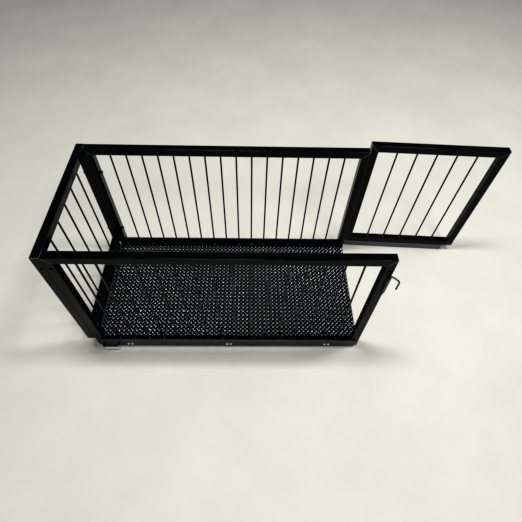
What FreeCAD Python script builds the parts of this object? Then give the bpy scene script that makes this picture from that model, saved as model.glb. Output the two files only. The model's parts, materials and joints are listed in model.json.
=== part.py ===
import FreeCAD, Part
import math
import os

os.makedirs("parts", exist_ok=True)

# Open-topped kennel cage: four barred panels of square steel tube, a wire floor,
# a hinged end door and a lift-and-turn latch.  The door stands open.
# X runs along the cage, Y from front to back, Z up.  The origin is the middle of
# the underside of the front panel's bottom rail.  Lengths are in millimetres.

# Cage
CAGE_LENGTH = 925.0
CAGE_WIDTH = 445.0
CAGE_HEIGHT = 505.0
TUBE = 25.0
TUBE_WALL = 1.5
TUBE_CORNER_R = 2.0
BAR_D = 6.0
SIDE_BARS = 16
END_BARS = 5
END_RAISE = 50.0

# Door and its hinges
DOOR_RAISE = 26.0
DOOR_GAP = 3.0
DOOR_HINGE_INSET = 1.0
DOOR_FREE_INSET = 1.0
DOOR_OPENING_DEG = 87.2
HINGE_BARREL_D = 14.0
HINGE_AXIS_OFFSET = 8.0
HINGE_PIN_D = 8.0
HINGE_PIN_CLEARANCE = 0.05
HINGE_KNUCKLE = 28.0
HINGE_KNUCKLE_GAP = 0.4
HINGE_LEAF = 21.0
HINGE_LEAF_THICK = 3.0
HINGE_PIN_HEAD_D = 12.0
HINGE_PIN_HEAD = 2.0
HINGE_LOW_Z = 75.0
HINGE_TOP_DROP = 105.0
SILL_HEIGHT = 23.0
SILL_DEPTH = 20.0
SILL_THICK = 3.0
SILL_FREE_SHORT = 40.0
SILL_POST_CLEARANCE = 1.0
SILL_DRAIN_D = 5.0
SILL_DRAIN_INSET = 20.0

# Floor
FLOOR_BAR_Z = 12.0
FLOOR_BAR_THICK = 3.0
FLOOR_BAR_WIDTH = 15.0
FLOOR_CROSS_BARS = 2
FLOOR_LIP_HEIGHT = 22.0
FLOOR_LIP_THICK = 3.0
FLOOR_LIP_Z = 8.0
FLOOR_SHEET_THICK = 1.0
END_SKIRT_THICK = 3.0
END_SKIRT_INSET = 3.0
WIRE_D = 3.5
WIRE_PITCH_X = 15.4
WIRE_PITCH_Y = 15.4
WIRE_END_INSET = 1.0
WIRE_SHORTEST = 14.0

# Strips along the foot of the front and back panels
STRIP_HEIGHT = 38.0
STRIP_THICK = 5.0
STRIP_Z = 2.0
STRIP_LEFT_INSET = 40.0
STRIP_RIGHT_INSET = 13.0
STRIP_SCREW_INSET = 97.0
STRIP_SCREW_SPACING = 13.0
STRIP_SCREW_Z = 18.0

# Screws and bolts
SCREW_D = 4.0
SCREW_LENGTH = 12.0
SCREW_HEAD_D = 8.0
SCREW_HEAD = 3.0
SCREW_DOME = 1.2
HOLE_CLEARANCE = 0.2
CORNER_SCREW_DROP = 47.0
BOLT_D = 6.0
BOLT_HEAD_FLATS = 10.0
BOLT_HEAD = 4.0
BOLT_NUT = 5.0
BOLT_TAIL = 2.0
WASHER_D = 12.0
WASHER_THICK = 1.6
PANEL_BOLT_LOW_Z = 120.0
PANEL_BOLT_TOP_DROP = 105.0

# Tie loops
LOOP_D = 5.0
LOOP_WIDTH = 51.0
LOOP_OUT = 11.0
LOOP_Z = 20.0
LOOP_BEND = 5.0
LOOP_LEFT_INSET = 47.0

# Latch
LATCH_ROD_D = 5.0
LATCH_SLEEVE_D = 9.0
LATCH_FIT_CLEARANCE = 0.1
LATCH_POST_INSET = 5.0
LATCH_TOP_DROP = 73.0
LATCH_SLEEVE_LENGTH = 67.0
LATCH_SEAT_WIDTH = 5.0
LATCH_COLLAR_D = 8.8
LATCH_COLLAR_THICK = 2.0
LATCH_ARM_RISE = 13.0
LATCH_ARM_REACH = 27.0
LATCH_ARM_DEG = -42.0
LATCH_BEND = 8.0
LATCH_LEG = 37.0
LATCH_TAIL = 10.0
KEEPER_THICK = 2.5
KEEPER_WIDTH = 11.0
KEEPER_HOLE_D = 6.2
KEEPER_ENGAGEMENT = 4.5

# Places that follow from the sizes above
X_LEFT = -CAGE_LENGTH / 2 - TUBE / 2
X_SIDE = X_LEFT + TUBE
X_RIGHT = X_LEFT + CAGE_LENGTH
Y_FRONT = -TUBE / 2
Y_BACK = Y_FRONT + CAGE_WIDTH
Y_FLOOR_FRONT = Y_FRONT + TUBE
Y_FLOOR_BACK = Y_BACK - TUBE
HINGE_X = X_RIGHT + DOOR_GAP / 2
HINGE_Y = Y_BACK + HINGE_AXIS_OFFSET
LATCH_X = X_RIGHT - LATCH_POST_INSET
LATCH_Y = Y_FRONT - LATCH_SLEEVE_D / 2
LATCH_SLEEVE_TOP = CAGE_HEIGHT - LATCH_TOP_DROP
LATCH_ARM_Z = LATCH_SLEEVE_TOP + LATCH_ARM_RISE
LATCH_LEG_TIP = LATCH_ARM_Z - LATCH_LEG
SHEET_Z = FLOOR_BAR_Z + FLOOR_BAR_THICK
WIRE_Z = SHEET_Z + FLOOR_SHEET_THICK

V = FreeCAD.Vector
X_AXIS = V(1, 0, 0)
Y_AXIS = V(0, 1, 0)
Z_AXIS = V(0, 0, 1)
# Two directions count as parallel when the cosine between them is above this.
PARALLEL = 0.99


def save(name, solids):
    """Write one node: a single solid, or a group of separate solids."""
    shape = solids[0] if len(solids) == 1 else Part.makeCompound(solids)
    shape.exportStep("parts/" + name + ".step")


def block(low, high):
    """A box between two opposite corners."""
    low = V(*low)
    size = V(*high) - low
    return Part.makeBox(size.x, size.y, size.z, low)


def rod(diameter, start, end):
    """A straight round rod."""
    way = V(*end) - V(*start)
    return Part.makeCylinder(diameter / 2, way.Length, V(*start), way)


def prism(points, depth):
    """A polygon in the XZ plane, extruded towards +Y."""
    corners = [V(x, 0, z) for x, z in points]
    face = Part.Face(Part.makePolygon(corners + corners[:1]))
    return face.extrude(V(0, depth, 0))


def bent_rod(points, diameter, bend):
    """A round rod along straight runs, with an arc of the bend radius at each corner."""
    points = [V(*p) for p in points]
    edges = []
    start = points[0]
    for before, corner, after in zip(points, points[1:], points[2:]):
        back = (before - corner).normalize()
        ahead = (after - corner).normalize()
        half = back.getAngle(ahead) / 2
        setback = bend / math.tan(half)
        middle = (back + ahead).normalize() * (bend / math.sin(half) - bend)
        arc_start = corner + back * setback
        arc_end = corner + ahead * setback
        edges.append(Part.makeLine(start, arc_start))
        edges.append(Part.Arc(arc_start, corner + middle, arc_end).toShape())
        start = arc_end
    edges.append(Part.makeLine(start, points[-1]))
    section = Part.Wire(Part.makeCircle(diameter / 2, points[0], points[1] - points[0]))
    return Part.Wire(edges).makePipeShell([section], True, True)


def rounded_along(tube, start, end):
    """The tube with its four long edges rounded; they run along the line from start to end."""
    run = V(end[0] - start[0], 0, end[1] - start[1]).normalize()
    long_edges = [edge for edge in tube.Edges if abs(edge.tangentAt(edge.FirstParameter).dot(run)) > PARALLEL]
    return tube.makeFillet(TUBE_CORNER_R, long_edges)


def frame_tubes(width, height):
    """Four square tubes, mitred at the corners, in the XZ plane from Y 0 to the tube size."""
    def corners(inset):
        right, top = width - inset, height - inset
        return [(inset, inset), (right, inset), (right, top), (inset, top)]

    outer, inner = corners(0.0), corners(TUBE)
    void_outer, void_inner = corners(TUBE_WALL), corners(TUBE - TUBE_WALL)
    tubes = []
    for i in range(4):
        j = (i + 1) % 4
        wall = rounded_along(prism([outer[i], outer[j], inner[j], inner[i]], TUBE), outer[i], outer[j])
        void = prism([void_outer[i], void_outer[j], void_inner[j], void_inner[i]], TUBE - 2 * TUBE_WALL)
        void.translate(V(0, TUBE_WALL, 0))
        tubes.append(wall.cut(void))
    return tubes


def frame_bars(width, height, count):
    """Evenly spaced round bars between the rails of one panel."""
    pitch = (width - 2 * TUBE) / (count + 1)
    places = [TUBE + pitch * (i + 1) for i in range(count)]
    return [rod(BAR_D, (x, TUBE / 2, TUBE), (x, TUBE / 2, height - TUBE)) for x in places]


def barred_panel(width, height, count, place):
    """One panel's bottom rail, far post, top rail, near post and bars, put in place."""
    tubes = frame_tubes(width, height)
    bars = frame_bars(width, height, count)
    return [place(tube) for tube in tubes], [place(bar) for bar in bars]


def side_place(y):
    """A panel that runs along X, with its outer or inner face at y."""
    def place(shape):
        shape.translate(V(X_SIDE, y, 0))
        return shape
    return place


def cross_place(x, y, z):
    """A panel that runs along Y, between x and x plus the tube size."""
    def place(shape):
        shape.rotate(V(0, 0, 0), Z_AXIS, 90)
        shape.translate(V(x + TUBE, y, z))
        return shape
    return place


def screw(head_seat, inward):
    """A domed screw whose head rests at head_seat and whose shank points inward."""
    seat = V(*head_seat)
    shank = Part.makeCylinder(SCREW_D / 2, SCREW_LENGTH, seat, inward)
    rim = SCREW_HEAD - SCREW_DOME
    head = Part.makeCylinder(SCREW_HEAD_D / 2, rim, seat, inward * -1)
    dome = Part.makeCone(SCREW_HEAD_D / 2, SCREW_HEAD_D / 4, SCREW_DOME, seat - inward * rim, inward * -1)
    return shank.fuse([head, dome]).removeSplitter()


def screw_hole(head_seat, inward):
    """The clearance hole of a screw, from its seat to the end of its shank."""
    return Part.makeCylinder(SCREW_D / 2 + HOLE_CLEARANCE, SCREW_LENGTH, V(*head_seat), inward)


def hexagon(across_flats, thickness, x, y, z):
    """A hexagonal prism along X, starting at x."""
    radius = across_flats / math.sqrt(3)
    turns = [math.radians(60 * i) for i in range(7)]
    corners = [V(x, y + radius * math.cos(a), z + radius * math.sin(a)) for a in turns]
    return Part.Face(Part.makePolygon(corners)).extrude(V(thickness, 0, 0))


def drilled(shape, holes):
    """The shape with every hole cut out of it."""
    return shape.cut(holes) if holes else shape


# Fastener places, shared by the fasteners and the holes they sit in

def corner_screw_seats():
    """Screws on the outward faces of the posts, one near the top of each."""
    z = CAGE_HEIGHT - CORNER_SCREW_DROP
    middles = [X_LEFT + TUBE / 2, X_SIDE + TUBE / 2, X_RIGHT - TUBE / 2]
    front = [((x, Y_FRONT, z), Y_AXIS) for x in middles]
    back = [((x, Y_BACK, z), Y_AXIS * -1) for x in middles]
    return front, back


def strip_screw_seats():
    """Three pairs of screws on each foot strip."""
    left = X_LEFT + STRIP_LEFT_INSET + STRIP_SCREW_INSET
    right = X_RIGHT - STRIP_RIGHT_INSET - STRIP_SCREW_INSET
    half = STRIP_SCREW_SPACING / 2
    places = [x + side for x in (left, (left + right) / 2, right) for side in (-half, half)]
    front = [((x, Y_FRONT - STRIP_THICK, STRIP_SCREW_Z), Y_AXIS) for x in places]
    back = [((x, Y_BACK + STRIP_THICK, STRIP_SCREW_Z), Y_AXIS * -1) for x in places]
    return front, back


def panel_bolt_places():
    """Two bolts at each left corner, through the end panel's post and the side panel's post."""
    heights = (PANEL_BOLT_LOW_Z, CAGE_HEIGHT - PANEL_BOLT_TOP_DROP)
    return [(y, z) for y in (Y_FRONT + TUBE / 2, Y_BACK - TUBE / 2) for z in heights]


def bolt_hole(y, z):
    """One bolt's clearance hole through both posts."""
    return rod(BOLT_D + 2 * HOLE_CLEARANCE, (X_LEFT, y, z), (X_SIDE + TUBE, y, z))


def side_panel(name, y, corner_seats, strip_seats):
    """The front or back panel, drilled for its screws and the end panel's bolts."""
    tubes, bars = barred_panel(X_RIGHT - X_SIDE, CAGE_HEIGHT, SIDE_BARS, side_place(y))
    bottom, right, top, left = tubes
    bolts = [bolt_hole(*place) for place in panel_bolt_places() if abs(place[0] - y - TUBE / 2) < TUBE]
    save(name + "_bottom_rail", [drilled(bottom, [screw_hole(*seat) for seat in strip_seats])])
    save(name + "_top_rail", [top])
    save(name + "_right_post", [drilled(right, [screw_hole(*corner_seats[2])])])
    save(name + "_left_post", [drilled(left, [screw_hole(*corner_seats[1])] + bolts)])
    save(name + "_bars", bars)


def end_panel(front_seat, back_seat):
    """The fixed left end panel, raised off the floor."""
    place = cross_place(X_LEFT, Y_FRONT, END_RAISE)
    tubes, bars = barred_panel(CAGE_WIDTH, CAGE_HEIGHT - END_RAISE, END_BARS, place)
    bottom, back, top, front = tubes
    holes = [(place[0], bolt_hole(*place)) for place in panel_bolt_places()]
    middle = (Y_FRONT + Y_BACK) / 2
    front_bolts = [hole for y, hole in holes if y < middle]
    back_bolts = [hole for y, hole in holes if y > middle]
    save("end_bottom_rail", [bottom])
    save("end_top_rail", [top])
    save("end_front_post", [drilled(front, [screw_hole(*front_seat)] + front_bolts)])
    save("end_back_post", [drilled(back, [screw_hole(*back_seat)] + back_bolts)])
    save("end_bars", bars)


def panel_bolts():
    """Hex bolts, their washers and their nuts."""
    bolts, washers, nuts = [], [], []
    head_seat = X_LEFT - WASHER_THICK
    nut_seat = X_SIDE + TUBE
    for y, z in panel_bolt_places():
        tail = nut_seat + BOLT_NUT + BOLT_TAIL
        shank = rod(BOLT_D, (head_seat, y, z), (tail, y, z))
        head = hexagon(BOLT_HEAD_FLATS, BOLT_HEAD, head_seat - BOLT_HEAD, y, z)
        bolts.append(shank.fuse(head).removeSplitter())
        ring = rod(WASHER_D, (head_seat, y, z), (X_LEFT, y, z))
        washers.append(ring.cut(rod(BOLT_D, (head_seat, y, z), (X_LEFT, y, z))))
        nut = hexagon(BOLT_HEAD_FLATS, BOLT_NUT, nut_seat, y, z)
        nuts.append(nut.cut(rod(BOLT_D, (nut_seat, y, z), (nut_seat + BOLT_NUT, y, z))))
    save("panel_bolts", bolts)
    save("panel_bolt_washers", washers)
    save("panel_bolt_nuts", nuts)


def foot_strip(name, y_low, y_high, seats):
    """The flat strip that stands on the outer face of a bottom rail."""
    low = (X_LEFT + STRIP_LEFT_INSET, y_low, STRIP_Z)
    high = (X_RIGHT - STRIP_RIGHT_INSET, y_high, STRIP_Z + STRIP_HEIGHT)
    save(name, [drilled(block(low, high), [screw_hole(*seat) for seat in seats])])


def tie_loop(name, face_y, outward):
    """A bent wire loop, welded by its two ends to a foot strip."""
    left = X_LEFT + LOOP_LEFT_INSET
    right = left + LOOP_WIDTH
    out = face_y + outward * LOOP_OUT
    route = [(left, face_y, LOOP_Z), (left, out, LOOP_Z), (right, out, LOOP_Z), (right, face_y, LOOP_Z)]
    save(name, [bent_rod(route, LOOP_D, LOOP_BEND)])


def floor_frame():
    """Flat bars between the bottom rails, the sheet on them, the left lip and the end skirt."""
    low, high = FLOOR_BAR_Z, SHEET_Z
    start = X_SIDE + FLOOR_LIP_THICK
    front = block((start, Y_FLOOR_FRONT, low), (X_RIGHT, Y_FLOOR_FRONT + FLOOR_BAR_WIDTH, high))
    back = block((start, Y_FLOOR_BACK - FLOOR_BAR_WIDTH, low), (X_RIGHT, Y_FLOOR_BACK, high))
    y_low, y_high = Y_FLOOR_FRONT + FLOOR_BAR_WIDTH, Y_FLOOR_BACK - FLOOR_BAR_WIDTH
    right = block((X_RIGHT - FLOOR_BAR_WIDTH, y_low, low), (X_RIGHT, y_high, high))
    pitch = (X_RIGHT - start) / (FLOOR_CROSS_BARS + 1)
    middles = [start + pitch * (i + 1) for i in range(FLOOR_CROSS_BARS)]
    half = FLOOR_BAR_WIDTH / 2
    lip_top = FLOOR_LIP_Z + FLOOR_LIP_HEIGHT
    save("floor_front_bar", [front])
    save("floor_back_bar", [back])
    save("floor_right_bar", [right])
    save("floor_cross_bars", [block((x - half, y_low, low), (x + half, y_high, high)) for x in middles])
    skirt_x = X_SIDE - END_SKIRT_INSET
    save("end_skirt", [block((skirt_x - END_SKIRT_THICK, Y_FLOOR_FRONT, FLOOR_LIP_Z),
                             (skirt_x, Y_FLOOR_BACK, END_RAISE))])
    save("floor_sheet", [block((start, Y_FLOOR_FRONT, high), (X_RIGHT, Y_FLOOR_BACK, WIRE_Z))])
    save("floor_left_lip", [block((X_SIDE, Y_FLOOR_FRONT, FLOOR_LIP_Z), (start, Y_FLOOR_BACK, lip_top))])


def floor_wires():
    """Two layers of slanting wires that cross to make a diamond mesh."""
    x_low = X_SIDE + FLOOR_LIP_THICK + WIRE_END_INSET + WIRE_D / 2
    x_high = X_RIGHT - WIRE_END_INSET - WIRE_D / 2
    y_low = Y_FLOOR_FRONT + WIRE_END_INSET + WIRE_D / 2
    y_high = Y_FLOOR_BACK - WIRE_END_INSET - WIRE_D / 2
    columns = round((x_high - x_low) / WIRE_PITCH_X)
    rows = round((y_high - y_low) / WIRE_PITCH_Y)
    step_x, step_y = (x_high - x_low) / columns, (y_high - y_low) / rows
    slope = step_y / step_x
    for name, layer, lean in (("floor_wires_lower", 0, 1), ("floor_wires_upper", 1, -1)):
        z = WIRE_Z + WIRE_D * (layer + 0.5)
        wires = []
        for i in range(-rows, columns):
            foot = x_low + step_x * (i + 0.5)
            left = max(foot, x_low)
            right = min(foot + (y_high - y_low) / slope, x_high)
            rise = [(x - foot) * slope for x in (left, right)]
            ys = [y_low + r if lean > 0 else y_high - r for r in rise]
            if right - left > WIRE_SHORTEST:
                wires.append(rod(WIRE_D, (left, ys[0], z), (right, ys[1], z)))
        save(name, wires)


def opened(shape):
    """Turn a piece of the closed door about the hinge line to where the door stands."""
    shape.rotate(V(HINGE_X, HINGE_Y, 0), Z_AXIS, DOOR_OPENING_DEG)
    return shape


def door():
    """The barred door, its corner screws and the sill bar under it."""
    y_free = Y_FRONT + DOOR_FREE_INSET
    y_hinge = Y_BACK - DOOR_HINGE_INSET
    x_face = X_RIGHT + DOOR_GAP
    place = cross_place(x_face, y_free, DOOR_RAISE)
    tubes, bars = barred_panel(y_hinge - y_free, CAGE_HEIGHT - DOOR_RAISE, END_BARS, place)
    bottom, hinge_side, top, free_side = tubes
    z = CAGE_HEIGHT - CORNER_SCREW_DROP
    seats = [((x_face, y, z), X_AXIS) for y in (y_free + TUBE / 2, y_hinge - TUBE / 2)]
    save("door_bottom_rail", [opened(bottom)])
    save("door_top_rail", [opened(top)])
    save("door_free_stile", [opened(drilled(free_side, [screw_hole(*seats[0])]))])
    save("door_hinge_stile", [opened(drilled(hinge_side, [screw_hole(*seats[1])]))])
    save("door_bars", [opened(bar) for bar in bars])
    save("door_corner_screws", [opened(screw(*seat)) for seat in seats])
    x_low = X_RIGHT + SILL_POST_CLEARANCE
    y_low = y_free + SILL_FREE_SHORT
    z_low = DOOR_RAISE - SILL_HEIGHT
    leg = block((x_low, y_low, z_low), (x_low + SILL_THICK, y_hinge, DOOR_RAISE))
    flange = block((x_low, y_low, DOOR_RAISE - SILL_THICK), (x_low + SILL_DEPTH, y_hinge, DOOR_RAISE))
    y_drain, z_drain = y_hinge - SILL_DRAIN_INSET, z_low + SILL_HEIGHT / 2
    drain = rod(SILL_DRAIN_D, (x_low, y_drain, z_drain), (x_low + SILL_THICK, y_drain, z_drain))
    save("door_sill_bar", [opened(leg.fuse(flange).removeSplitter().cut(drain))])


def knuckle(leaf, z):
    """One hinge knuckle: a barrel with its leaf, bored for the pin."""
    barrel = Part.makeCylinder(HINGE_BARREL_D / 2, HINGE_KNUCKLE, V(HINGE_X, HINGE_Y, z))
    bore = Part.makeCylinder(HINGE_PIN_D / 2 + HINGE_PIN_CLEARANCE, HINGE_KNUCKLE, V(HINGE_X, HINGE_Y, z))
    return barrel.fuse(leaf).removeSplitter().cut(bore)


def hinges():
    """Two hinges: the lower knuckle on the post, the upper one on the door, and the pin."""
    frame_knuckles, door_knuckles, pins = [], [], []
    for z in (HINGE_LOW_Z, CAGE_HEIGHT - HINGE_TOP_DROP):
        z_door = z + HINGE_KNUCKLE + HINGE_KNUCKLE_GAP
        z_top = z_door + HINGE_KNUCKLE
        post_leaf = block((HINGE_X - HINGE_LEAF, Y_BACK, z),
                          (HINGE_X, Y_BACK + HINGE_LEAF_THICK, z + HINGE_KNUCKLE))
        y_stile = Y_BACK - DOOR_HINGE_INSET
        door_leaf = block((HINGE_X, y_stile, z_door),
                          (HINGE_X + HINGE_LEAF, y_stile + HINGE_LEAF_THICK, z_top))
        frame_knuckles.append(knuckle(post_leaf, z))
        door_knuckles.append(opened(knuckle(door_leaf, z_door)))
        shank = rod(HINGE_PIN_D, (HINGE_X, HINGE_Y, z), (HINGE_X, HINGE_Y, z_top))
        head = rod(HINGE_PIN_HEAD_D, (HINGE_X, HINGE_Y, z - HINGE_PIN_HEAD), (HINGE_X, HINGE_Y, z))
        pins.append(shank.fuse(head).removeSplitter())
    kinds = (("frame_knuckle", frame_knuckles), ("door_knuckle", door_knuckles), ("hinge_pin", pins))
    for name, pair in kinds:
        save("lower_" + name, [pair[0]])
        save("upper_" + name, [pair[1]])


def latch():
    """The sleeve on the front right post, the collar on it, the bent rod and the keeper."""
    sleeve_low = LATCH_SLEEVE_TOP - LATCH_SLEEVE_LENGTH
    bore_d = LATCH_ROD_D + 2 * LATCH_FIT_CLEARANCE
    sleeve = rod(LATCH_SLEEVE_D, (LATCH_X, LATCH_Y, sleeve_low), (LATCH_X, LATCH_Y, LATCH_SLEEVE_TOP))
    seat = block((LATCH_X - LATCH_SEAT_WIDTH / 2, LATCH_Y, sleeve_low),
                 (LATCH_X + LATCH_SEAT_WIDTH / 2, Y_FRONT, LATCH_SLEEVE_TOP))
    collar_top = LATCH_SLEEVE_TOP + LATCH_COLLAR_THICK
    bore = rod(bore_d, (LATCH_X, LATCH_Y, sleeve_low), (LATCH_X, LATCH_Y, collar_top))
    collar = rod(LATCH_COLLAR_D, (LATCH_X, LATCH_Y, LATCH_SLEEVE_TOP), (LATCH_X, LATCH_Y, collar_top))
    save("latch_sleeve", [sleeve.fuse(seat).removeSplitter().cut(bore)])
    save("latch_collar", [collar.cut(bore)])
    turn = math.radians(LATCH_ARM_DEG)
    leg_x = LATCH_X + LATCH_ARM_REACH * math.cos(turn)
    leg_y = LATCH_Y + LATCH_ARM_REACH * math.sin(turn)
    route = [(LATCH_X, LATCH_Y, sleeve_low - LATCH_TAIL), (LATCH_X, LATCH_Y, LATCH_ARM_Z),
             (leg_x, leg_y, LATCH_ARM_Z), (leg_x, leg_y, LATCH_LEG_TIP)]
    save("latch_rod", [bent_rod(route, LATCH_ROD_D, LATCH_BEND)])
    keeper_x, y_free = LATCH_X + LATCH_ARM_REACH, Y_FRONT + DOOR_FREE_INSET
    z_low = LATCH_LEG_TIP + KEEPER_ENGAGEMENT
    z_high = z_low + KEEPER_THICK
    tongue = block((keeper_x - KEEPER_WIDTH / 2, LATCH_Y, z_low),
                   (keeper_x + KEEPER_WIDTH / 2, y_free, z_high))
    tip = rod(KEEPER_WIDTH, (keeper_x, LATCH_Y, z_low), (keeper_x, LATCH_Y, z_high))
    hole = rod(KEEPER_HOLE_D, (keeper_x, LATCH_Y, z_low), (keeper_x, LATCH_Y, z_high))
    save("latch_keeper", [opened(tongue.fuse(tip).removeSplitter().cut(hole))])


front_corner, back_corner = corner_screw_seats()
front_strip_seats, back_strip_seats = strip_screw_seats()
side_panel("front", Y_FRONT, front_corner, front_strip_seats)
side_panel("back", Y_BACK - TUBE, back_corner, back_strip_seats)
end_panel(front_corner[0], back_corner[0])
panel_bolts()
save("corner_screws", [screw(*seat) for seat in front_corner + back_corner])
foot_strip("front_strip", Y_FRONT - STRIP_THICK, Y_FRONT, front_strip_seats)
foot_strip("back_strip", Y_BACK, Y_BACK + STRIP_THICK, back_strip_seats)
save("front_strip_screws", [screw(*seat) for seat in front_strip_seats])
save("back_strip_screws", [screw(*seat) for seat in back_strip_seats])
tie_loop("front_tie_loop", Y_FRONT - STRIP_THICK, -1)
tie_loop("back_tie_loop", Y_BACK + STRIP_THICK, 1)
floor_frame()
floor_wires()
door()
hinges()
latch()
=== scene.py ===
import json
import math

import bpy
from mathutils import Matrix, Vector


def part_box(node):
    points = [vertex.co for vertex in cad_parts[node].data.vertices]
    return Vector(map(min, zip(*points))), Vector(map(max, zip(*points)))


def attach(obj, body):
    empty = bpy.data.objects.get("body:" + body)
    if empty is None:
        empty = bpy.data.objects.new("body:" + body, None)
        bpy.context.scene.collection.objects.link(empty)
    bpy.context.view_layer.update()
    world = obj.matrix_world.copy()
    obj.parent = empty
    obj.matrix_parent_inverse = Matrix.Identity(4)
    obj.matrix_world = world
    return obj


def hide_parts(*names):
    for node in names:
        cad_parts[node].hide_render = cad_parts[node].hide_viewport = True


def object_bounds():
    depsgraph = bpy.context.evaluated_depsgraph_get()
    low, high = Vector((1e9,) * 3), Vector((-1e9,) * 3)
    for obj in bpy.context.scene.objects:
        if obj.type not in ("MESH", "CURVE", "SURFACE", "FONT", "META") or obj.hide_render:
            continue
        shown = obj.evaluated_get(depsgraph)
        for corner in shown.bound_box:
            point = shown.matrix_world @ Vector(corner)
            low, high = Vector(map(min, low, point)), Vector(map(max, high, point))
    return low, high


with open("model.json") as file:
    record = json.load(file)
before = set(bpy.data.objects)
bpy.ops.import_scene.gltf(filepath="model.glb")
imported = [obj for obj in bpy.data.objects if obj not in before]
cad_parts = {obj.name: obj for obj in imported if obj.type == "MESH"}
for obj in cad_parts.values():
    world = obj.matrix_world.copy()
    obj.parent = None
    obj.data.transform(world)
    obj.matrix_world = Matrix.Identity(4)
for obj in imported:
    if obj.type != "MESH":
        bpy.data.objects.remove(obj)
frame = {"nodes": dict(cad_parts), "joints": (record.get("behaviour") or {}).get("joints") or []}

CAD_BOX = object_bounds()

bl_info = {
    "name": "Kennel Cage",
    "version": (1, 0, 0),
    "blender": (4, 5, 0),
    "location": "3D View > Sidebar > Kennel Cage",
    "description": "Welds, fasteners, woven floor and finishes for the open-topped kennel cage",
    "category": "Object",
}

MM = 0.001
NODES = frame["nodes"]
HINGE = next(j for j in frame["joints"] if j["name"] == "door_hinge")
LATCH = next(j for j in frame["joints"] if j["name"] == "latch_turn")
HINGE_AXIS = Vector(HINGE["pos_m"])
OPENING = -math.radians(HINGE["range_deg"][0])
OPEN_TURN = Matrix.Translation(HINGE_AXIS) @ Matrix.Rotation(OPENING, 4, "Z") @ Matrix.Translation(-HINGE_AXIS)

SIDE_BARS = 16
END_BARS = 5
WIRE_SIDES = 6
CRIMP_CUTS = 8
WIRE_MERGE = 0.02 * MM
WELD_SINK = 0.2 * MM
FILLET_PROUD = 1.6 * MM
WELD_SHARE = 0.84
LOOP_WIRE_RADIUS = 2.5 * MM
SLEEVE_BEAD = 3.4 * MM
SLEEVE_BEAD_PROUD = 1.3 * MM
SCREW_SHANK = 4.0 * MM
SCREW_LENGTH = 11.0 * MM
SCREW_PAIR_SPREAD = 13.0 * MM
SCREW_PAIRS = 3
DOOR_SCREW_DROP = 0.5 * MM
BOLT_HEAD = 4.0 * MM
BOLT_RADIUS = 2.97 * MM
BOLT_TIP_BEVEL = 0.5 * MM

FLOOR_SIZE = 14.0
FLOOR_DROP = 0.2 * MM
LENS_MM = 27.65
SENSOR_MM = 36.0
CAMERA_PLACE = (0.0772, -0.6034, 1.3152)
CAMERA_RIGHT = Vector((0.99969, -0.00734, 0.02351))
CAMERA_DOWN = Vector((0.00788, -0.80926, -0.58740))
CAMERA_AHEAD = Vector((0.02333, 0.58741, -0.80896))


# ---------------------------------------------------------------- sizes and colours

def length(name, description, default):
    return bpy.props.FloatProperty(name=name, description=description, default=default * MM,
                                   min=0.0, unit="LENGTH", precision=5)


def tint(name, description, hexcode):
    return bpy.props.StringProperty(name=name, description=description, default=hexcode)


class CageSizes(bpy.types.PropertyGroup):
    weld_leg: length("Weld leg", "Width of the fillet weld round each bar", 2.4)
    weld_height: length("Weld height", "Height of the fillet weld round each bar", 2.2)
    seam_width: length("Seam width", "Width of the weld along a mitred corner", 3.6)
    seam_proud: length("Seam height", "How far a seam weld stands off the tube", 0.45)
    seam_pitch: length("Seam ripple", "Spacing of the ripples in a seam weld", 2.2)
    screw_head: length("Screw head", "Width of a pan head screw", 8.0)
    screw_head_height: length("Screw head height", "Height of a pan head screw", 3.0)
    bolt_flats: length("Bolt head", "Width across the flats of a bolt head or nut", 10.0)
    washer: length("Washer", "Width of the washers under the panel bolts", 12.0)
    wire: length("Floor wire", "Diameter of the woven floor wire", 3.5)
    weave: length("Weave pitch", "Spacing of the crossings in the floor mesh", 15.4)


class CageColours(bpy.types.PropertyGroup):
    paint: tint("Frame paint", "Gloss black of tubes and bars", "#040506")
    paint_dust: tint("Paint dust", "Dust that dulls the paint in the hollows", "#0C0D0D")
    bar: tint("Bars", "Enamel of the round bars", "#060708")
    latch: tint("Latch", "Enamel of the latch, rubbed by the hand", "#0B0B0C")
    # The grey of the foot strips is partly their paint and partly a painted reflection of the pale floor.
    foot: tint("Foot strips", "Painted steel of the foot strips", "#1A2023")
    # The sill's blue-grey is a painted reflection of the pale floor and sky.
    sill: tint("Door sill", "Painted steel of the bar under the door", "#4A5459")
    sheet: tint("Floor sheet", "Sheet under the floor mesh", "#020202")
    # A pale line painted along the edges: a painted highlight.
    painted_edge_highlight: tint("Painted edge highlight", "Pale line painted along the edges as a highlight", "#8E949A")
    # Grey painted on the tops of the crimps: a painted glint.
    painted_glint: tint("Painted glints on the crimps", "Grey painted on the tops of the crimped floor wires as glints", "#BCBBB8")
    wire_coat: tint("Floor coating", "Coating on the floor mesh", "#060607")
    # Near white, as a painted highlight on the zinc screw heads.
    zinc: tint("Zinc plate", "Bright zinc on the strip screws", "#F4F4F2")
    steel: tint("Steel", "Plain steel of the hinge pins", "#8F9294")
    ground: tint("Studio floor", "Pale floor that the cage stands on", "#C6C4BA")


def sizes():
    return bpy.context.scene.cage_sizes


def colours():
    return bpy.context.scene.cage_colours


def linear(hexcode):
    """An sRGB hex colour as a linear RGBA colour."""
    parts = [int(hexcode[i:i + 2], 16) / 255 for i in (1, 3, 5)]
    return tuple(c / 12.92 if c <= 0.04045 else ((c + 0.055) / 1.055) ** 2.4 for c in parts) + (1.0,)


# ---------------------------------------------------------------- making pieces

def deselect():
    if bpy.context.object and bpy.context.object.mode != "OBJECT":
        bpy.ops.object.mode_set(mode="OBJECT")
    bpy.ops.object.select_all(action="DESELECT")


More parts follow.
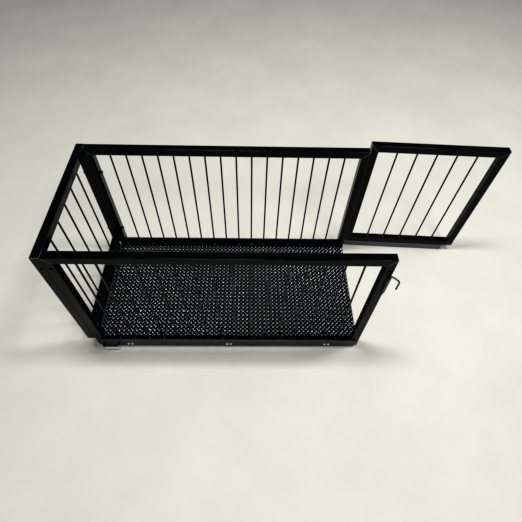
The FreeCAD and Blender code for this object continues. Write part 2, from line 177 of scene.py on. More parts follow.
def pick(obj, others=()):
    """Make obj the active object, with it and the others alone selected."""
    deselect()
    for one in (obj, *others):
        one.select_set(True)
    bpy.context.view_layer.objects.active = obj


def edit(obj, kind="VERT", everything=False):
    pick(obj)
    bpy.ops.object.mode_set(mode="EDIT")
    bpy.ops.mesh.select_mode(type=kind)
    bpy.ops.mesh.select_all(action="SELECT" if everything else "DESELECT")


def choose(obj, kind, wanted):
    """Select the faces, edges or vertices of the edited mesh that wanted() accepts by centre and normal."""
    bpy.ops.mesh.select_all(action="DESELECT")
    bpy.ops.object.mode_set(mode="OBJECT")
    mesh = obj.data
    if kind == "FACE":
        for face in mesh.polygons:
            face.select = wanted(face.center, face.normal)
    elif kind == "EDGE":
        for edge in mesh.edges:
            a, b = (mesh.vertices[v].co for v in edge.vertices)
            edge.select = wanted((a + b) / 2, (b - a).normalized())
    else:
        for vertex in mesh.vertices:
            vertex.select = wanted(vertex.co, vertex.normal)
    bpy.ops.object.mode_set(mode="EDIT")


def apply_modifiers(obj):
    pick(obj)
    for name in [m.name for m in obj.modifiers]:
        bpy.ops.object.modifier_apply(modifier=name)


def copies(master, places, name):
    """Copy the master to each place, each copy with its own mesh, and join them into one piece."""
    made = []
    for place in places:
        one = master.copy()
        one.data = master.data.copy()
        bpy.context.scene.collection.objects.link(one)
        one.matrix_world = place
        made.append(one)
    bpy.data.objects.remove(master)
    return joined(made, name)


def joined(parts, name):
    """Join the parts into one named piece whose place is in its mesh."""
    bpy.context.view_layer.update()
    pick(parts[0], parts[1:])
    if len(parts) > 1:
        bpy.ops.object.join()
    piece = bpy.context.object
    bpy.ops.object.transform_apply(location=True, rotation=True, scale=True)
    piece.name = name
    piece.data.name = name
    return piece


def finish_piece(piece, body, finish, angle=40.0, replaces=()):
    """Smooth, colour and mount a piece on its body."""
    edit(piece, everything=True)
    bpy.ops.mesh.normals_make_consistent(inside=False)
    bpy.ops.object.mode_set(mode="OBJECT")
    bpy.ops.object.shade_smooth_by_angle(angle=math.radians(angle))
    piece.data.materials.clear()
    piece.data.materials.append(bpy.data.materials[finish])
    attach(piece, body)
    if replaces:
        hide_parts(*replaces)
    return piece


def box_of(*names):
    """Lowest and highest corners of some nodes together."""
    corners = [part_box(n) for n in names]
    low = Vector([min(c[0][i] for c in corners) for i in range(3)])
    high = Vector([max(c[1][i] for c in corners) for i in range(3)])
    return low, high


def closed_box(name):
    """Lowest and highest corners of a door node as it is with the door shut."""
    back = OPEN_TURN.inverted()
    points = [back @ v.co for v in NODES[name].data.vertices]
    low = Vector([min(p[i] for p in points) for i in range(3)])
    high = Vector([max(p[i] for p in points) for i in range(3)])
    return low, high


def facing(place, towards, spin=0.0):
    """A matrix that puts a master modelled along +Z at a place, with +Z turned towards a direction."""
    turn = Vector((0, 0, 1)).rotation_difference(Vector(towards)).to_matrix().to_4x4()
    return Matrix.Translation(Vector(place)) @ turn @ Matrix.Rotation(spin, 4, "Z")


def evenly(low, high, count):
    return [low + (high - low) * i / (count - 1) for i in range(count)]


# ---------------------------------------------------------------- finishes

def add(tree, kind, settings=None, **links):
    """Add a node with its settings; links name an input and the output socket that feeds it."""
    made = tree.nodes.new(kind)
    for key, value in (settings or {}).items():
        if isinstance(key, str) and key not in made.inputs:
            setattr(made, key, value)
        else:
            made.inputs[key].default_value = value
    for key, source in links.items():
        name = int(key[1:]) if key[0] == "i" and key[1:].isdigit() else key.replace("_", " ")
        tree.links.new(source, made.inputs[name])
    return made


def ramp(tree, source, stops):
    made = add(tree, "ShaderNodeValToRGB", Fac=source)
    ends = made.color_ramp.elements
    while len(ends) < len(stops):
        ends.new(0.5)
    for end, (at, value) in zip(ends, stops):
        end.position = at
        end.color = value if isinstance(value, tuple) else (value, value, value, 1.0)
    return made.outputs["Color"]


def finish_start(name):
    material = bpy.data.materials.new(name)
    material.use_nodes = True
    tree = material.node_tree
    shader = tree.nodes["Principled BSDF"]
    where = add(tree, "ShaderNodeTexCoord").outputs["Object"]
    return tree, shader, where


def painted_steel(name, coat, dust, rough, gloss, peel_mm, proud_mm, dust_at, ior=1.5, edge_highlight_share=0.0,
                  painted_glint=None):
    """Sprayed and stoved enamel: an even colour, an orange peel in the gloss, dust, a painted highlight along the
    edges and, when asked, painted glints on the crimp tops.
    """
    tree, shader, where = finish_start(name)
    # Cloudy dust in patches some 60 mm across.
    cloud = add(tree, "ShaderNodeTexNoise", {"Scale": 1000 / 60, "Detail": 6.0, "Roughness": 0.62}, Vector=where)
    dusty = ramp(tree, cloud.outputs["Fac"], [(dust_at, 0.0), (dust_at + 0.22, 1.0)])
    # Small scuffs on a 5 mm pattern, which dull the gloss.
    scuff = add(tree, "ShaderNodeTexNoise", {"Scale": 1000 / 5, "Detail": 3.0, "Roughness": 0.5}, Vector=where)
    worn = ramp(tree, scuff.outputs["Fac"], [(0.70, 0.0), (0.76, 1.0)])
    coated = colour_mix(tree, dusty, coat, dust)
    # A pale line painted along the edges stands in for the light they catch: a painted highlight, like paint worn
    # thin by handling. The Bevel node finds them within 2.5 mm.
    rounded = add(tree, "ShaderNodeBevel", {"samples": 4, "Radius": 2.5 * MM})
    true_normal = add(tree, "ShaderNodeNewGeometry").outputs["Normal"]
    bend = add(tree, "ShaderNodeVectorMath", {"operation": "DOT_PRODUCT"}, i0=rounded.outputs[0], i1=true_normal)
    edge = ramp(tree, bend.outputs["Value"], [(0.80, 1.0), (0.97, 0.0)])
    painted_edge_highlight = add(tree, "ShaderNodeMath", {"operation": "MULTIPLY", 1: edge_highlight_share}, i0=edge)
    coated = colour_mix(tree, painted_edge_highlight.outputs[0], coated, colours().painted_edge_highlight)
    if painted_glint:
        # Grey painted on the tops of the crimps: a painted glint where they would catch the light.
        foot, top, share = painted_glint
        height = add(tree, "ShaderNodeSeparateXYZ", i0=where).outputs["Z"]
        glint = add(tree, "ShaderNodeMapRange", {"From Min": foot, "From Max": top, "To Max": share}, Value=height)
        coated = colour_mix(tree, glint.outputs[0], coated, colours().painted_glint)
    tree.links.new(coated, shader.inputs["Base Color"])
    dull = add(tree, "ShaderNodeMath", {"operation": "ADD"}, i0=dusty, i1=worn)
    sheen = add(tree, "ShaderNodeMapRange", {"From Min": 0.0, "From Max": 2.0, "To Min": rough,
                                             "To Max": rough + 0.3}, Value=dull.outputs[0])
    tree.links.new(sheen.outputs[0], shader.inputs["Roughness"])
    # Orange peel of the sprayed coat.
    peel = add(tree, "ShaderNodeTexNoise", {"Scale": 1000 / peel_mm, "Detail": 2.0}, Vector=where)
    bump = add(tree, "ShaderNodeBump", {"Strength": 0.35, "Distance": proud_mm * MM}, Height=peel.outputs["Fac"])
    tree.links.new(bump.outputs[0], shader.inputs["Normal"])
    shader.inputs["IOR"].default_value = ior
    # The sheen of the black coats is a little cold.
    shader.inputs["Specular Tint"].default_value = linear("#EDF3FA")
    shader.inputs["Specular IOR Level"].default_value = gloss


def colour_mix(tree, share, first, second):
    """Mix two colours by a share. The first may be a socket, and a hex colour is set on the node itself."""
    made = add(tree, "ShaderNodeMix", {"data_type": "RGBA"})
    tree.links.new(share, made.inputs[0])
    pair = [one for one in made.inputs if one.type == "RGBA"]
    for one, value in zip(pair, (first, second)):
        if isinstance(value, str):
            one.default_value = linear(value)
        else:
            tree.links.new(value, one)
    return next(one for one in made.outputs if one.type == "RGBA")


def plated_steel(name, bright, stain, rough, grain_mm, metallic):
    """Metal with a thin plating: fine drawn lines along Z, cloudy stains and a soft sheen."""
    tree, shader, where = finish_start(name)
    stretched = add(tree, "ShaderNodeMapping", {"Scale": (1.0, 1.0, 0.15)}, Vector=where)
    drawn = add(tree, "ShaderNodeTexNoise", {"Scale": 1000 / grain_mm, "Detail": 4.0}, Vector=stretched.outputs[0])
    cloud = add(tree, "ShaderNodeTexNoise", {"Scale": 1000 / 9, "Detail": 5.0}, Vector=where)
    cloudy = ramp(tree, cloud.outputs["Fac"], [(0.42, 0.0), (0.68, 1.0)])
    tree.links.new(colour_mix(tree, cloudy, bright, stain), shader.inputs["Base Color"])
    gloss = add(tree, "ShaderNodeMapRange", {"To Min": rough, "To Max": rough + 0.22}, Value=drawn.outputs["Fac"])
    tree.links.new(gloss.outputs[0], shader.inputs["Roughness"])
    bump = add(tree, "ShaderNodeBump", {"Strength": 0.3, "Distance": 0.05 * MM}, Height=drawn.outputs["Fac"])
    tree.links.new(bump.outputs[0], shader.inputs["Normal"])
    shader.inputs["Metallic"].default_value = metallic


def concrete(name, pale):
    """A pale trowelled floor with faint clouds in it."""
    tree, shader, where = finish_start(name)
    cloud = add(tree, "ShaderNodeTexNoise", {"Scale": 3.0, "Detail": 8.0, "Roughness": 0.6}, Vector=where)
    shade = ramp(tree, cloud.outputs["Fac"], [(0.3, linear("#CFCDC3")), (0.7, linear(pale))])
    tree.links.new(shade, shader.inputs["Base Color"])
    shader.inputs["Roughness"].default_value = 0.85


class CAGE_OT_finishes(bpy.types.Operator):
    """Make the finishes and put them on the frame's own parts"""
    bl_idname = "cage.finishes"
    bl_label = "Finishes"

    def execute(self, context):
        c = colours()
        # Near black, with sharp but weak highlights, and a painted highlight that shows the edges as thin lighter
        # lines.
        painted_steel("Stoved gloss black enamel", c.paint, c.paint_dust, rough=0.12, gloss=0.14, peel_mm=1.6,
                      proud_mm=0.05, dust_at=0.52, edge_highlight_share=0.35)
        # The same coat on a small round bar, where it shows as a dim line along the bar.
        painted_steel("Black enamel on round bar", c.bar, "#0A0B0C", rough=0.14, gloss=0.22, peel_mm=1.2,
                      proud_mm=0.04, dust_at=0.5)
        # A slightly blue mid grey with a soft sheen: the blue-grey is a painted reflection of the pale floor and
        # sky on the sill's dark coat, with a painted highlight along the edge.
        painted_steel("Sill paint with painted blue-grey reflection", c.sill, "#545C5F", rough=0.32, gloss=0.35, peel_mm=2.0,
                      proud_mm=0.08, dust_at=0.45, edge_highlight_share=0.7)
        # Lumpy under the paint, so it glints in small spots.
        painted_steel("Weld under gloss black enamel", c.paint, c.paint_dust, rough=0.3, gloss=1.0, peel_mm=1.0,
                      proud_mm=0.08, dust_at=0.6)
        # Polished by hands, so it is shinier than the frame.
        painted_steel("Rubbed black enamel on the latch", c.latch, "#191A1A", rough=0.18, gloss=0.9, peel_mm=1.2,
                      proud_mm=0.04, dust_at=0.5)
        # Dark grey rather than black, with a dull sheen: the grey is partly the strips' own paint and partly a
        # painted reflection of the pale floor, with a painted highlight along the edges.
        painted_steel("Satin charcoal paint on steel", c.foot, "#262B2E", rough=0.3, gloss=0.25, peel_mm=2.0,
                      proud_mm=0.08, dust_at=0.45, edge_highlight_share=0.5)
        # A thick smooth dip coat, with grey painted on the tops of the crimps as a painted glint: rows of pale
        # dots on black. The rising wires get a strong painted glint, the falling wires a dim one.
        crown = box_of("floor_wires_lower", "floor_wires_upper")[1].z
        for name, share in (("Black dip-coated wire, strong painted glints", 0.9), ("Black dip-coated wire", 0.3)):
            painted_steel(name, c.wire_coat, "#0A0B0C", rough=0.2, gloss=0.9, peel_mm=3.5, proud_mm=0.02,
                          dust_at=0.7, ior=1.9, painted_glint=(crown - 1.5 * MM, crown - 0.2 * MM, share))
        # Matt and nearly black, so the holes of the mesh stay dark.
        painted_steel("Dull black floor sheet", c.sheet, "#040404", rough=0.6, gloss=0.02, peel_mm=3.0,
                      proud_mm=0.05, dust_at=0.5)
        # Near white and only partly metallic, so the heads are bright from every side: the zinc's own pale colour
        # raised to near white as a painted highlight.
        plated_steel("Zinc plate with painted highlight", c.zinc, "#D9D9D2", rough=0.3, grain_mm=0.8, metallic=0.15)
        # Drawn bar with a grey sheen and fine lines along it.
        plated_steel("Plain drawn steel", c.steel, "#6E6A63", rough=0.34, grain_mm=0.8, metallic=1.0)
        of_slot = {"black_gloss_paint": "Stoved gloss black enamel",
                   "grey_painted_steel": "Satin charcoal paint on steel",
                   "black_coated_wire": "Black dip-coated wire",
                   "zinc_plated_steel": "Zinc plate with painted highlight",
                   "floor_sheet": "Dull black floor sheet",
                   "bars": "Black enamel on round bar",
                   "sill": "Sill paint with painted blue-grey reflection",
                   "latch": "Rubbed black enamel on the latch",
                   "plain_steel": "Plain drawn steel"}
        for name, obj in NODES.items():
            finish = of_slot[self.slot_of(name)]
            obj.data.materials.clear()
            obj.data.materials.append(bpy.data.materials[finish])
        return {"FINISHED"}

    @staticmethod
    def slot_of(name):
        if name in ("front_strip", "back_strip", "floor_left_lip"):
            return "grey_painted_steel"
        if name.endswith("strip_screws"):
            return "zinc_plated_steel"
        if name == "floor_sheet":
            return "floor_sheet"
        if name == "door_sill_bar":
            return "sill"
        if name.endswith("_bars") and not name.startswith("floor"):
            return "bars"
        if name.startswith("latch_"):
            return "latch"
        if name.startswith("floor_wires"):
            return "black_coated_wire"
        if name.endswith("hinge_pin"):
            return "plain_steel"
        return "black_gloss_paint"


# ---------------------------------------------------------------- floor mesh

def repeat(obj, step, count, merge=0.0):
    """Repeat an object in a row, and join the ends of its copies where merge gives a distance."""
    row = obj.modifiers.new("row", "ARRAY")
    row.use_relative_offset = False
    row.use_constant_offset = True
    row.constant_offset_displace = step
    row.count = count
    if merge:
        row.use_merge_vertices = True
        row.merge_threshold = merge
    apply_modifiers(obj)


def woven_layer(name, lean):
    """One family of crimped wires that lean at 45 degrees, trimmed to the floor."""
    s = sizes()
    low, high = box_of("floor_wires_lower", "floor_wires_upper")
    radius = s.wire / 2
    x_low, x_high, y_low, y_high = low.x, high.x, low.y, high.y
    columns, rows = round((x_high - x_low) / s.weave), round((y_high - y_low) / s.weave)
    step = Vector(((x_high - x_low) / columns, (y_high - y_low) / rows, 0))
    middle = (low.z + high.z) / 2
    # Where one family is at the top of its crimp the other is at the bottom, so they touch and never cut.
    crimp = lean * ((high.z - low.z) / 2 - radius)
    deselect()
    side = math.atan2(step.y, step.x)
    bpy.ops.mesh.primitive_circle_add(vertices=WIRE_SIDES, radius=radius, fill_type="NOTHING",
                                      location=(0, 0, crimp), rotation=(math.pi / 2, 0, side + math.pi / 2))
    wire = bpy.context.object
    bpy.ops.object.transform_apply(location=True, rotation=True, scale=True)
    edit(wire, everything=True)
    # One full wave of the crimp, in short straight lengths.
    heights = [crimp * math.cos(2 * math.pi * i / CRIMP_CUTS) for i in range(CRIMP_CUTS + 1)]
    for start, end in zip(heights, heights[1:]):
        length_on = (step.x / CRIMP_CUTS, step.y / CRIMP_CUTS, end - start)
        bpy.ops.mesh.extrude_region_move(TRANSFORM_OT_translate={"value": length_on})
    bpy.ops.object.mode_set(mode="OBJECT")
    repeat(wire, (step.x, step.y, 0), rows, WIRE_MERGE)
    repeat(wire, (step.x, 0, 0), columns + rows - 1)
    wire.location = (x_low - (rows - 1) * step.x, y_low, middle)
    if lean < 0:
        # The other family leans the other way, so it is the same wires mirrored left to right.
        wire.scale = (-1, 1, 1)
        wire.location.x = x_low + x_high - wire.location.x
    pick(wire)
    bpy.ops.object.transform_apply(location=True, rotation=True, scale=True)
    edit(wire, everything=True)
    for at, normal in ((x_low, (-1, 0, 0)), (x_high, (1, 0, 0))):
        bpy.ops.mesh.select_all(action="SELECT")
        bpy.ops.mesh.bisect(plane_co=(at, 0, 0), plane_no=normal, clear_outer=True, use_fill=False)
    bpy.ops.mesh.select_all(action="SELECT")
    # A slanting cut through a bend has more corners than the wire has sides.
    bpy.ops.mesh.fill_holes(sides=2 * WIRE_SIDES + 2)
    bpy.ops.object.mode_set(mode="OBJECT")
    wire.name = name
    wire.data.name = name
    return wire


class CAGE_OT_floor_mesh(bpy.types.Operator):
    """Weave the floor mesh from two families of crimped wires"""
    bl_idname = "cage.floor_mesh"
    bl_label = "Woven floor"

    def execute(self, context):
        rising = woven_layer("woven_wires_rising", 1)
        falling = woven_layer("woven_wires_falling", -1)
        finish_piece(rising, "cage", "Black dip-coated wire, strong painted glints", 80,
                     ["floor_wires_lower"])
        finish_piece(falling, "cage", "Black dip-coated wire", 80, ["floor_wires_upper"])
        return {"FINISHED"}


# ---------------------------------------------------------------- welds

def bar_weld(bar_radius):
    """One fillet weld round a bar, modelled standing on the rail at the origin."""
    s = sizes()
    deselect()
    bpy.ops.mesh.primitive_circle_add(vertices=12, radius=bar_radius + s.weld_leg, fill_type="NOTHING")
    weld = bpy.context.object
    edit(weld, everything=True)
    # The outline wanders a little, as a hand-laid bead does.
    choose(weld, "VERT", lambda at, normal: math.cos(5 * math.atan2(at.y, at.x)) > 0.2)
    bpy.ops.transform.resize(value=(1.1, 1.1, 1.0), center_override=(0, 0, 0))
    bpy.ops.mesh.select_all(action="SELECT")
    bpy.ops.transform.translate(value=(0, 0, -WELD_SINK))
    height = s.weld_height + WELD_SINK
    # Each ring is drawn in towards the bar and raised by its share of the height.
    for share, lift in ((0.90, 0.5), (0.72, 0.32), (0.72, 0.18)):
        bpy.ops.mesh.extrude_region_move(TRANSFORM_OT_translate={"value": (0, 0, height * lift)})
        bpy.ops.transform.resize(value=(share, share, 1.0), center_override=(0, 0, 0))
    bpy.ops.mesh.edge_face_add()
    choose(weld, "VERT", lambda at, normal: at.z < 0)
    bpy.ops.mesh.edge_face_add()
    bpy.ops.object.mode_set(mode="OBJECT")
    return weld


def weld_bars(name, body, low, high, count, turn=Matrix.Identity(4)):
    """Weld both ends of the upright bars that stand evenly in a box, in its longer direction."""
    run = 0 if high.x - low.x > high.y - low.y else 1
    radius = (high[1 - run] - low[1 - run]) / 2
    places = []
    for i, at in enumerate(evenly(low[run] + radius, high[run] - radius, count)):
        for z, up in ((low.z, 1), (high.z, -1)):
            place = Vector((0, 0, z))
            place[run] = at
            place[1 - run] = (low[1 - run] + high[1 - run]) / 2
            # Every weld is turned by its own angle, so that no two look alike.
            places.append(turn @ facing(place, (0, 0, up), spin=1.7 * i + 0.6 * up))
    piece = copies(bar_weld(radius), places, name)
    finish_piece(piece, body, "Weld under gloss black enamel", 60)


class CAGE_OT_bar_welds(bpy.types.Operator):
    """Weld both ends of every bar"""
    bl_idname = "cage.bar_welds"
    bl_label = "Bar welds"

    def execute(self, context):
        for side, count in (("front", SIDE_BARS), ("back", SIDE_BARS), ("end", END_BARS)):
            weld_bars(side + "_bar_welds", "cage", *box_of(side + "_bars"), count)
        weld_bars("door_bar_welds", "door", *closed_box("door_bars"), END_BARS, OPEN_TURN)
        return {"FINISHED"}


def seam_weld(run, width, proud):
    """A straight rippled bead along X, centred on the origin and lying on the plane Z 0."""
    s = sizes()
    count = max(3, round(run / s.seam_pitch))
    pitch = run / count
    deselect()
    bpy.ops.mesh.primitive_uv_sphere_add(segments=10, ring_count=6, radius=1.0,
                                         location=(-run / 2 + pitch / 2, 0, 0),
                                         scale=(pitch * 0.85, width / 2, proud))
    bead = bpy.context.object
    bpy.ops.object.transform_apply(location=True, rotation=True, scale=True)
    edit(bead, everything=True)
    # Each ripple leans forward, like a scale over the one before.
    choose(bead, "VERT", lambda at, normal: at.z > proud * 0.4)
    bpy.ops.transform.translate(value=(pitch * 0.25, 0, 0))
    bpy.ops.object.mode_set(mode="OBJECT")
    repeat(bead, (pitch, 0, 0), count)
    return bead


def frame_corners(u_low, u_high, z_low, z_high, tube):
    """The four mitres of a frame: middle of the mitre, its direction, the inner corner."""
    found = []
    for u, du in ((u_low, 1), (u_high, -1)):
        for z, dz in ((z_low, 1), (z_high, -1)):
            found.append(((u + du * tube / 2, z + dz * tube / 2), (du, dz), (u + du * tube, z + dz * tube)))
    return found


def frame_box(box, side, *uprights):
    """Lowest and highest corners of a frame's rails and uprights together."""
    found = [box(side + "_" + tube) for tube in ("bottom_rail", "top_rail", *uprights)]
    low = Vector([min(one[0][i] for one in found) for i in range(3)])
    high = Vector([max(one[1][i] for one in found) for i in range(3)])
    return low, high


def corner_welds(side, body, low, high, run, faces, turn=Matrix.Identity(4)):
    """Mitre seams on the faces of one frame, and a fillet in each inner corner. The frame runs along axis run."""
    s = sizes()
    flat = 1 - run
    tube = high[flat] - low[flat]
    corners = frame_corners(low[run], high[run], low.z, high.z, tube)
    seams, fillets = [], []
    for (u, z), (du, dz), (iu, iz) in corners:
        for sign in faces:
            place = Vector((0, 0, z))
            place[run] = u
            place[flat] = high[flat] if sign > 0 else low[flat]
            out = Vector((0, 0, 0))
            out[flat] = sign
            along = Vector((0, 0, dz))
            along[run] = du
            seams.append(turn @ based(place, along, out))
        place = Vector((0, 0, iz))
        place[run] = iu
        place[flat] = (high[flat] + low[flat]) / 2
        along = Vector((0, 0, 0))
        along[flat] = 1
        out = Vector((0, 0, dz))
        out[run] = du
        fillets.append(turn @ based(place, along, out))
    mitre = tube * math.sqrt(2) * WELD_SHARE
    seam = copies(seam_weld(mitre, s.seam_width, s.seam_proud), seams, side + "_seams")
    inside = seam_weld(tube * WELD_SHARE, s.seam_width * 1.5, FILLET_PROUD)
    fillet = copies(inside, fillets, side + "_fillets")
    piece = joined([seam, fillet], side + "_corner_welds")
    finish_piece(piece, body, "Weld under gloss black enamel", 60)


def based(place, along, out):
    """A matrix with X along a direction and Z out of the surface."""
    x, z = along.normalized(), out.normalized()
    y = z.cross(x)
    turn = Matrix((x, y, z)).transposed().to_4x4()
    return Matrix.Translation(place) @ turn


class CAGE_OT_corner_welds(bpy.types.Operator):
    """Weld the mitred corners of the four frames"""
    bl_idname = "cage.corner_welds"
    bl_label = "Corner welds"

    def execute(self, context):
        for side in ("front", "back"):
            low, high = frame_box(box_of, side, "left_post", "right_post")
            corner_welds(side, "cage", low, high, 0, (-1, 1))
        low, high = frame_box(box_of, "end", "front_post", "back_post")
        corner_welds("end", "cage", low, high, 1, (-1,))
        # The door's outer face is ground flush, so only its inner face has seams.
        low, high = frame_box(closed_box, "door", "free_stile", "hinge_stile")
        corner_welds("door", "door", low, high, 1, (-1,), OPEN_TURN)
        return {"FINISHED"}


# ---------------------------------------------------------------- screws and bolts

def pan_screw(shank, length_in, height):
    """A pan head screw with a cross recess, head up, its seat on the plane Z 0."""
    s = sizes()
    radius = s.screw_head / 2
    deselect()
    bpy.ops.mesh.primitive_cylinder_add(vertices=24, radius=radius, depth=height, location=(0, 0, height / 2))
    screw = bpy.context.object
    bpy.ops.object.transform_apply(location=True, rotation=True, scale=True)
    edit(screw, "EDGE")
    choose(screw, "EDGE", lambda at, way: at.z > height * 0.99)
    bpy.ops.mesh.bevel(offset=height * 0.62, segments=4, profile=0.5)
    # Shank: inset the seat and push it in.
    choose(screw, "FACE", lambda at, normal: normal.z < -0.9)
    bpy.ops.mesh.inset(thickness=radius - shank / 2)
    bpy.ops.mesh.extrude_region_move(TRANSFORM_OT_translate={"value": (0, 0, -length_in)})
    bpy.ops.object.mode_set(mode="OBJECT")
    for turn in (0.0, math.pi / 2):
        deselect()
        bpy.ops.mesh.primitive_cube_add(size=1.0, location=(0, 0, height), rotation=(0, 0, turn),
                                        scale=(radius * 1.15, radius * 0.26, height * 0.9))
        slot = bpy.context.object
        bpy.ops.object.transform_apply(location=True, rotation=True, scale=True)
        edit(slot, "FACE")
        # The recess narrows towards its bottom.
        choose(slot, "FACE", lambda at, normal: normal.z < -0.9)
        bpy.ops.transform.resize(value=(0.45, 0.45, 1.0), center_override=(0, 0, 0))
        bpy.ops.object.mode_set(mode="OBJECT")
        cut = screw.modifiers.new("recess", "BOOLEAN")
        cut.operation = "DIFFERENCE"
        cut.object = slot
        apply_modifiers(screw)
        bpy.data.objects.remove(slot)
    return screw


class CAGE_OT_screws(bpy.types.Operator):
    """Drive the screws of the foot strips and the frame corners"""
    bl_idname = "cage.screws"
    bl_label = "Screws"

    def execute(self, context):
        s = sizes()
        radius, head = s.screw_head / 2, s.screw_head_height
        for side, out in (("front", -1), ("back", 1)):
            node = side + "_strip_screws"
            low, high = box_of(node)
            face = (low.y + head) if out < 0 else (high.y - head)
            reach = (high.y - low.y) - head
            z = (low.z + high.z) / 2
            half_pair = SCREW_PAIR_SPREAD / 2
            places = []
            for x in evenly(low.x + radius + half_pair, high.x - radius - half_pair, SCREW_PAIRS):
                for half in (-1, 1):
                    places.append(facing((x + half * half_pair, face, z), (0, out, 0), spin=37.0 * x + half))
            piece = copies(pan_screw(SCREW_SHANK, reach, head), places, side + "_strip_screw_set")
            finish_piece(piece, "cage", "Zinc plate with painted highlight", 35, [node])
        low, high = box_of("corner_screws")
        z = (low.z + high.z) / 2
        places = []
        for side, y, out, turn in (("front", low.y + head, -1, 90.0), ("back", high.y - head, 1, 70.0)):
            for node in (f"end_{side}_post", f"{side}_left_post", f"{side}_right_post"):
                post_low, post_high = box_of(node)
                x = (post_low.x + post_high.x) / 2
                places.append(facing((x, y, z), (0, out, 0), spin=turn * x))
        piece = copies(pan_screw(SCREW_SHANK, SCREW_LENGTH, head), places, "corner_screw_set")
        finish_piece(piece, "cage", "Stoved gloss black enamel", 35, ["corner_screws"])
        low, high = closed_box("door_corner_screws")
        z = (low.z + high.z) / 2
        places = [OPEN_TURN @ facing((low.x + head, y, z), (-1, 0, 0), spin=31.0 * y)
                  for y in (low.y + radius, high.y - radius)]
        # These heads are lower, so they clear the posts when the door is shut.
        lower_head = pan_screw(SCREW_SHANK, SCREW_LENGTH, head - DOOR_SCREW_DROP)
        piece = copies(lower_head, places, "door_corner_screw_set")
        finish_piece(piece, "door", "Stoved gloss black enamel", 35, ["door_corner_screws"])
        return {"FINISHED"}


def hex_blank(flats, thick):
    """A hexagon standing on Z 0 whose top corners are turned off to a chamfer."""
    deselect()
    bpy.ops.mesh.primitive_cylinder_add(vertices=6, radius=flats / math.sqrt(3), depth=thick,
                                        location=(0, 0, thick / 2))
    blank = bpy.context.object
    bpy.ops.object.transform_apply(location=True, rotation=True, scale=True)
    deselect()
    # The cone is turned by half a side, so that its edges miss the corners of the hexagon.
    bpy.ops.mesh.primitive_cone_add(vertices=48, radius1=flats * 0.98, radius2=flats * 0.47, depth=thick * 1.02,
                                    location=(0, 0, thick * 0.505), rotation=(0, 0, math.pi / 48))
    turned = bpy.context.object
    edit(turned, "FACE")
    choose(turned, "FACE", lambda at, normal: normal.z < -0.9)
    bpy.ops.mesh.extrude_region_move(TRANSFORM_OT_translate={"value": (0, 0, -thick * 0.2)})
    bpy.ops.object.mode_set(mode="OBJECT")
    pick(turned)
    bpy.ops.object.transform_apply(location=True, rotation=True, scale=True)
    cut = blank.modifiers.new("chamfer", "BOOLEAN")
    cut.operation = "INTERSECT"
    cut.object = turned
    apply_modifiers(blank)
    bpy.data.objects.remove(turned)
    return blank


class CAGE_OT_panel_bolts(bpy.types.Operator):
    """Fit the hexagon bolts and nuts that hold the end panel"""
    bl_idname = "cage.panel_bolts"
    bl_label = "Panel bolts"

    def execute(self, context):
        s = sizes()
        low, high = box_of("panel_bolts")
        nut_low, nut_high = box_of("panel_bolt_nuts")
        washer_low, washer_high = box_of("panel_bolt_washers")
        rim = s.washer / 2
        spots = [(y, z) for y in (washer_low.y + rim, washer_high.y - rim)
                 for z in (washer_low.z + rim, washer_high.z - rim)]
        head = hex_blank(s.bolt_flats, BOLT_HEAD)
        reach = high.x - low.x - BOLT_HEAD
        deselect()
        bpy.ops.mesh.primitive_cylinder_add(vertices=24, radius=BOLT_RADIUS, depth=reach,
                                            location=(0, 0, -reach / 2))
        shank = bpy.context.object
        bpy.ops.object.transform_apply(location=True, rotation=True, scale=True)
        edit(shank, "EDGE")
        choose(shank, "EDGE", lambda at, way: at.z < -reach * 0.999)
        bpy.ops.mesh.bevel(offset=BOLT_TIP_BEVEL, segments=1)
        bpy.ops.object.mode_set(mode="OBJECT")
        bolt = joined([head, shank], "bolt")
        seat = low.x + BOLT_HEAD
        places = [facing((seat, y, z), (-1, 0, 0), spin=11.0 * z) for y, z in spots]
        piece = copies(bolt, places, "panel_bolt_set")
        finish_piece(piece, "cage", "Stoved gloss black enamel", 30, ["panel_bolts"])
        nut = hex_blank(s.bolt_flats, nut_high.x - nut_low.x)
        places = [facing((nut_low.x, y, z), (1, 0, 0), spin=17.0 * z) for y, z in spots]
        piece = copies(nut, places, "panel_nut_set")
        finish_piece(piece, "cage", "Stoved gloss black enamel", 30, ["panel_bolt_nuts"])
        return {"FINISHED"}


# ---------------------------------------------------------------- latch and loops

class CAGE_OT_small_welds(bpy.types.Operator):
    """Weld the tie loops and the latch sleeve in place"""
    bl_idname = "cage.small_welds"
    bl_label = "Loop and latch welds"

    def execute(self, context):
        places = []
        for side, out in (("front", -1), ("back", 1)):
            low, high = box_of(side + "_tie_loop")
            strip_low, strip_high = box_of(side + "_strip")
            face = strip_low.y if out < 0 else strip_high.y
            radius = (high.z - low.z) / 2
            for x in (low.x + radius, high.x - radius):
                places.append(facing((x, face, (low.z + high.z) / 2), (0, out, 0), spin=50 * x))
        piece = copies(bar_weld(LOOP_WIRE_RADIUS), places, "tie_loop_welds")
        finish_piece(piece, "cage", "Weld under gloss black enamel", 60)
        low, high = box_of("latch_sleeve")
        post_face = box_of("front_right_post")[0].y
        x = LATCH["pos_m"][0]
        middle = (low.z + high.z) / 2
        beads = [based(Vector((x + side * SLEEVE_BEAD, post_face, middle)), Vector((0, 0, 1)),
                       Vector((side * 0.5, -1, 0))) for side in (-1, 1)]
        bead = seam_weld((high.z - low.z) * 0.9, SLEEVE_BEAD, SLEEVE_BEAD_PROUD)
        piece = copies(bead, beads, "latch_sleeve_welds")
        finish_piece(piece, "cage", "Weld under gloss black enamel", 60)
        return {"FINISHED"}


# ---------------------------------------------------------------- stage, lights and camera

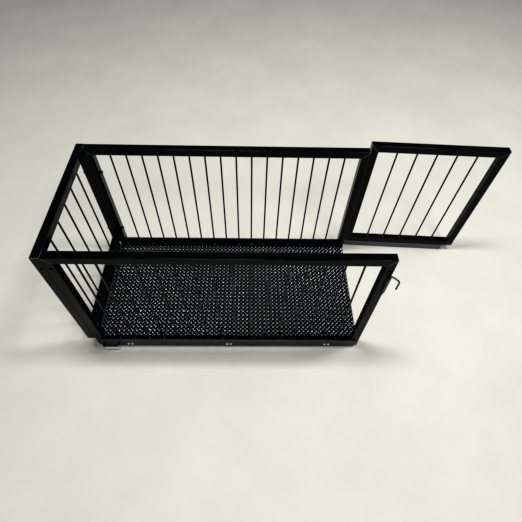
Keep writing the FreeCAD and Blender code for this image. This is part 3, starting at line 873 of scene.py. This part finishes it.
def soft_light(name, place, aim, size, power, colour):
    deselect()
    bpy.ops.object.light_add(type="AREA", location=place)
    lamp = bpy.context.object
    lamp.name = name
    lamp.data.shape = "RECTANGLE"
    lamp.data.size, lamp.data.size_y = size
    lamp.data.energy = power
    lamp.data.color = colour
    lamp.rotation_euler = (Vector(aim) - Vector(place)).to_track_quat("-Z", "Y").to_euler()
    return lamp


class CAGE_OT_stage(bpy.types.Operator):
    """Set the pale floor, the soft lights and the camera"""
    bl_idname = "cage.stage"
    bl_label = "Stage"

    def execute(self, context):
        c = colours()
        concrete("Pale trowelled floor", c.ground)
        deselect()
        bpy.ops.mesh.primitive_plane_add(size=FLOOR_SIZE, location=(0, 1.0, CAD_BOX[0][2] - FLOOR_DROP))
        ground = bpy.context.object
        ground.name = "studio_floor"
        bpy.ops.object.transform_apply(location=True, rotation=True, scale=True)
        ground.data.materials.append(bpy.data.materials["Pale trowelled floor"])
        world = bpy.data.worlds.new("Studio")
        world.use_nodes = True
        sky = world.node_tree.nodes["Background"]
        sky.inputs["Color"].default_value = (0.82, 0.9, 1.0, 1.0)
        sky.inputs["Strength"].default_value = 0.12
        context.scene.world = world
        middle, white = (0.0, 0.2, 0.2), (1.0, 1.0, 1.0)
        key = soft_light("Key soft box", (1.3, -1.6, 3.4), middle, (1.0, 0.7), 33, (1.0, 0.99, 0.97))
        side = soft_light("Right window", (3.2, 1.0, 2.2), middle, (0.9, 0.9), 16, (0.97, 0.99, 1.0))
        # These two only fill: the gloss takes its highlights from the two ceiling boxes.
        key.visible_glossy = side.visible_glossy = False
        for name, x, width, power in (("Left ceiling soft box", -0.33, 1.05, 56),
                                      ("Right ceiling soft box", 1.5, 0.7, 40)):
            soft_light(name, (x, 0.35, 3.5), (x, 0.35, 0.0), (width, 0.35), power, white)
        deselect()
        bpy.ops.object.camera_add()
        camera = bpy.context.object
        camera.name = "Camera"
        turn = Matrix((CAMERA_RIGHT, -CAMERA_DOWN, -CAMERA_AHEAD)).transposed().to_4x4()
        camera.matrix_world = Matrix.Translation(CAMERA_PLACE) @ turn
        camera.data.sensor_width = SENSOR_MM
        camera.data.lens = LENS_MM
        context.scene.camera = camera
        context.scene.view_settings.view_transform = "Standard"
        context.scene.view_settings.look = "High Contrast"
        return {"FINISHED"}


STEPS = (CAGE_OT_finishes, CAGE_OT_floor_mesh, CAGE_OT_bar_welds, CAGE_OT_corner_welds, CAGE_OT_screws,
         CAGE_OT_panel_bolts, CAGE_OT_small_welds, CAGE_OT_stage)


class CAGE_PT_panel(bpy.types.Panel):
    """Lists the steps that finish the kennel cage"""
    bl_idname = "CAGE_PT_panel"
    bl_label = "Kennel Cage"
    bl_space_type = "VIEW_3D"
    bl_region_type = "UI"
    bl_category = "Kennel Cage"

    def draw(self, context):
        for step in STEPS:
            self.layout.operator(step.bl_idname)
        for group in (context.scene.cage_sizes, context.scene.cage_colours):
            for name in group.__annotations__:
                self.layout.prop(group, name)


CLASSES = (CageSizes, CageColours, *STEPS, CAGE_PT_panel)


def register():
    for one in CLASSES:
        bpy.utils.register_class(one)
    bpy.types.Scene.cage_sizes = bpy.props.PointerProperty(type=CageSizes)
    bpy.types.Scene.cage_colours = bpy.props.PointerProperty(type=CageColours)


def unregister():
    del bpy.types.Scene.cage_sizes
    del bpy.types.Scene.cage_colours
    for one in reversed(CLASSES):
        bpy.utils.unregister_class(one)


def main():
    register()
    for step in STEPS:
        group, name = step.bl_idname.split(".")
        if getattr(getattr(bpy.ops, group), name)() != {"FINISHED"}:
            raise RuntimeError(step.bl_label + " did not finish")


if __name__ == "__main__":
    main()
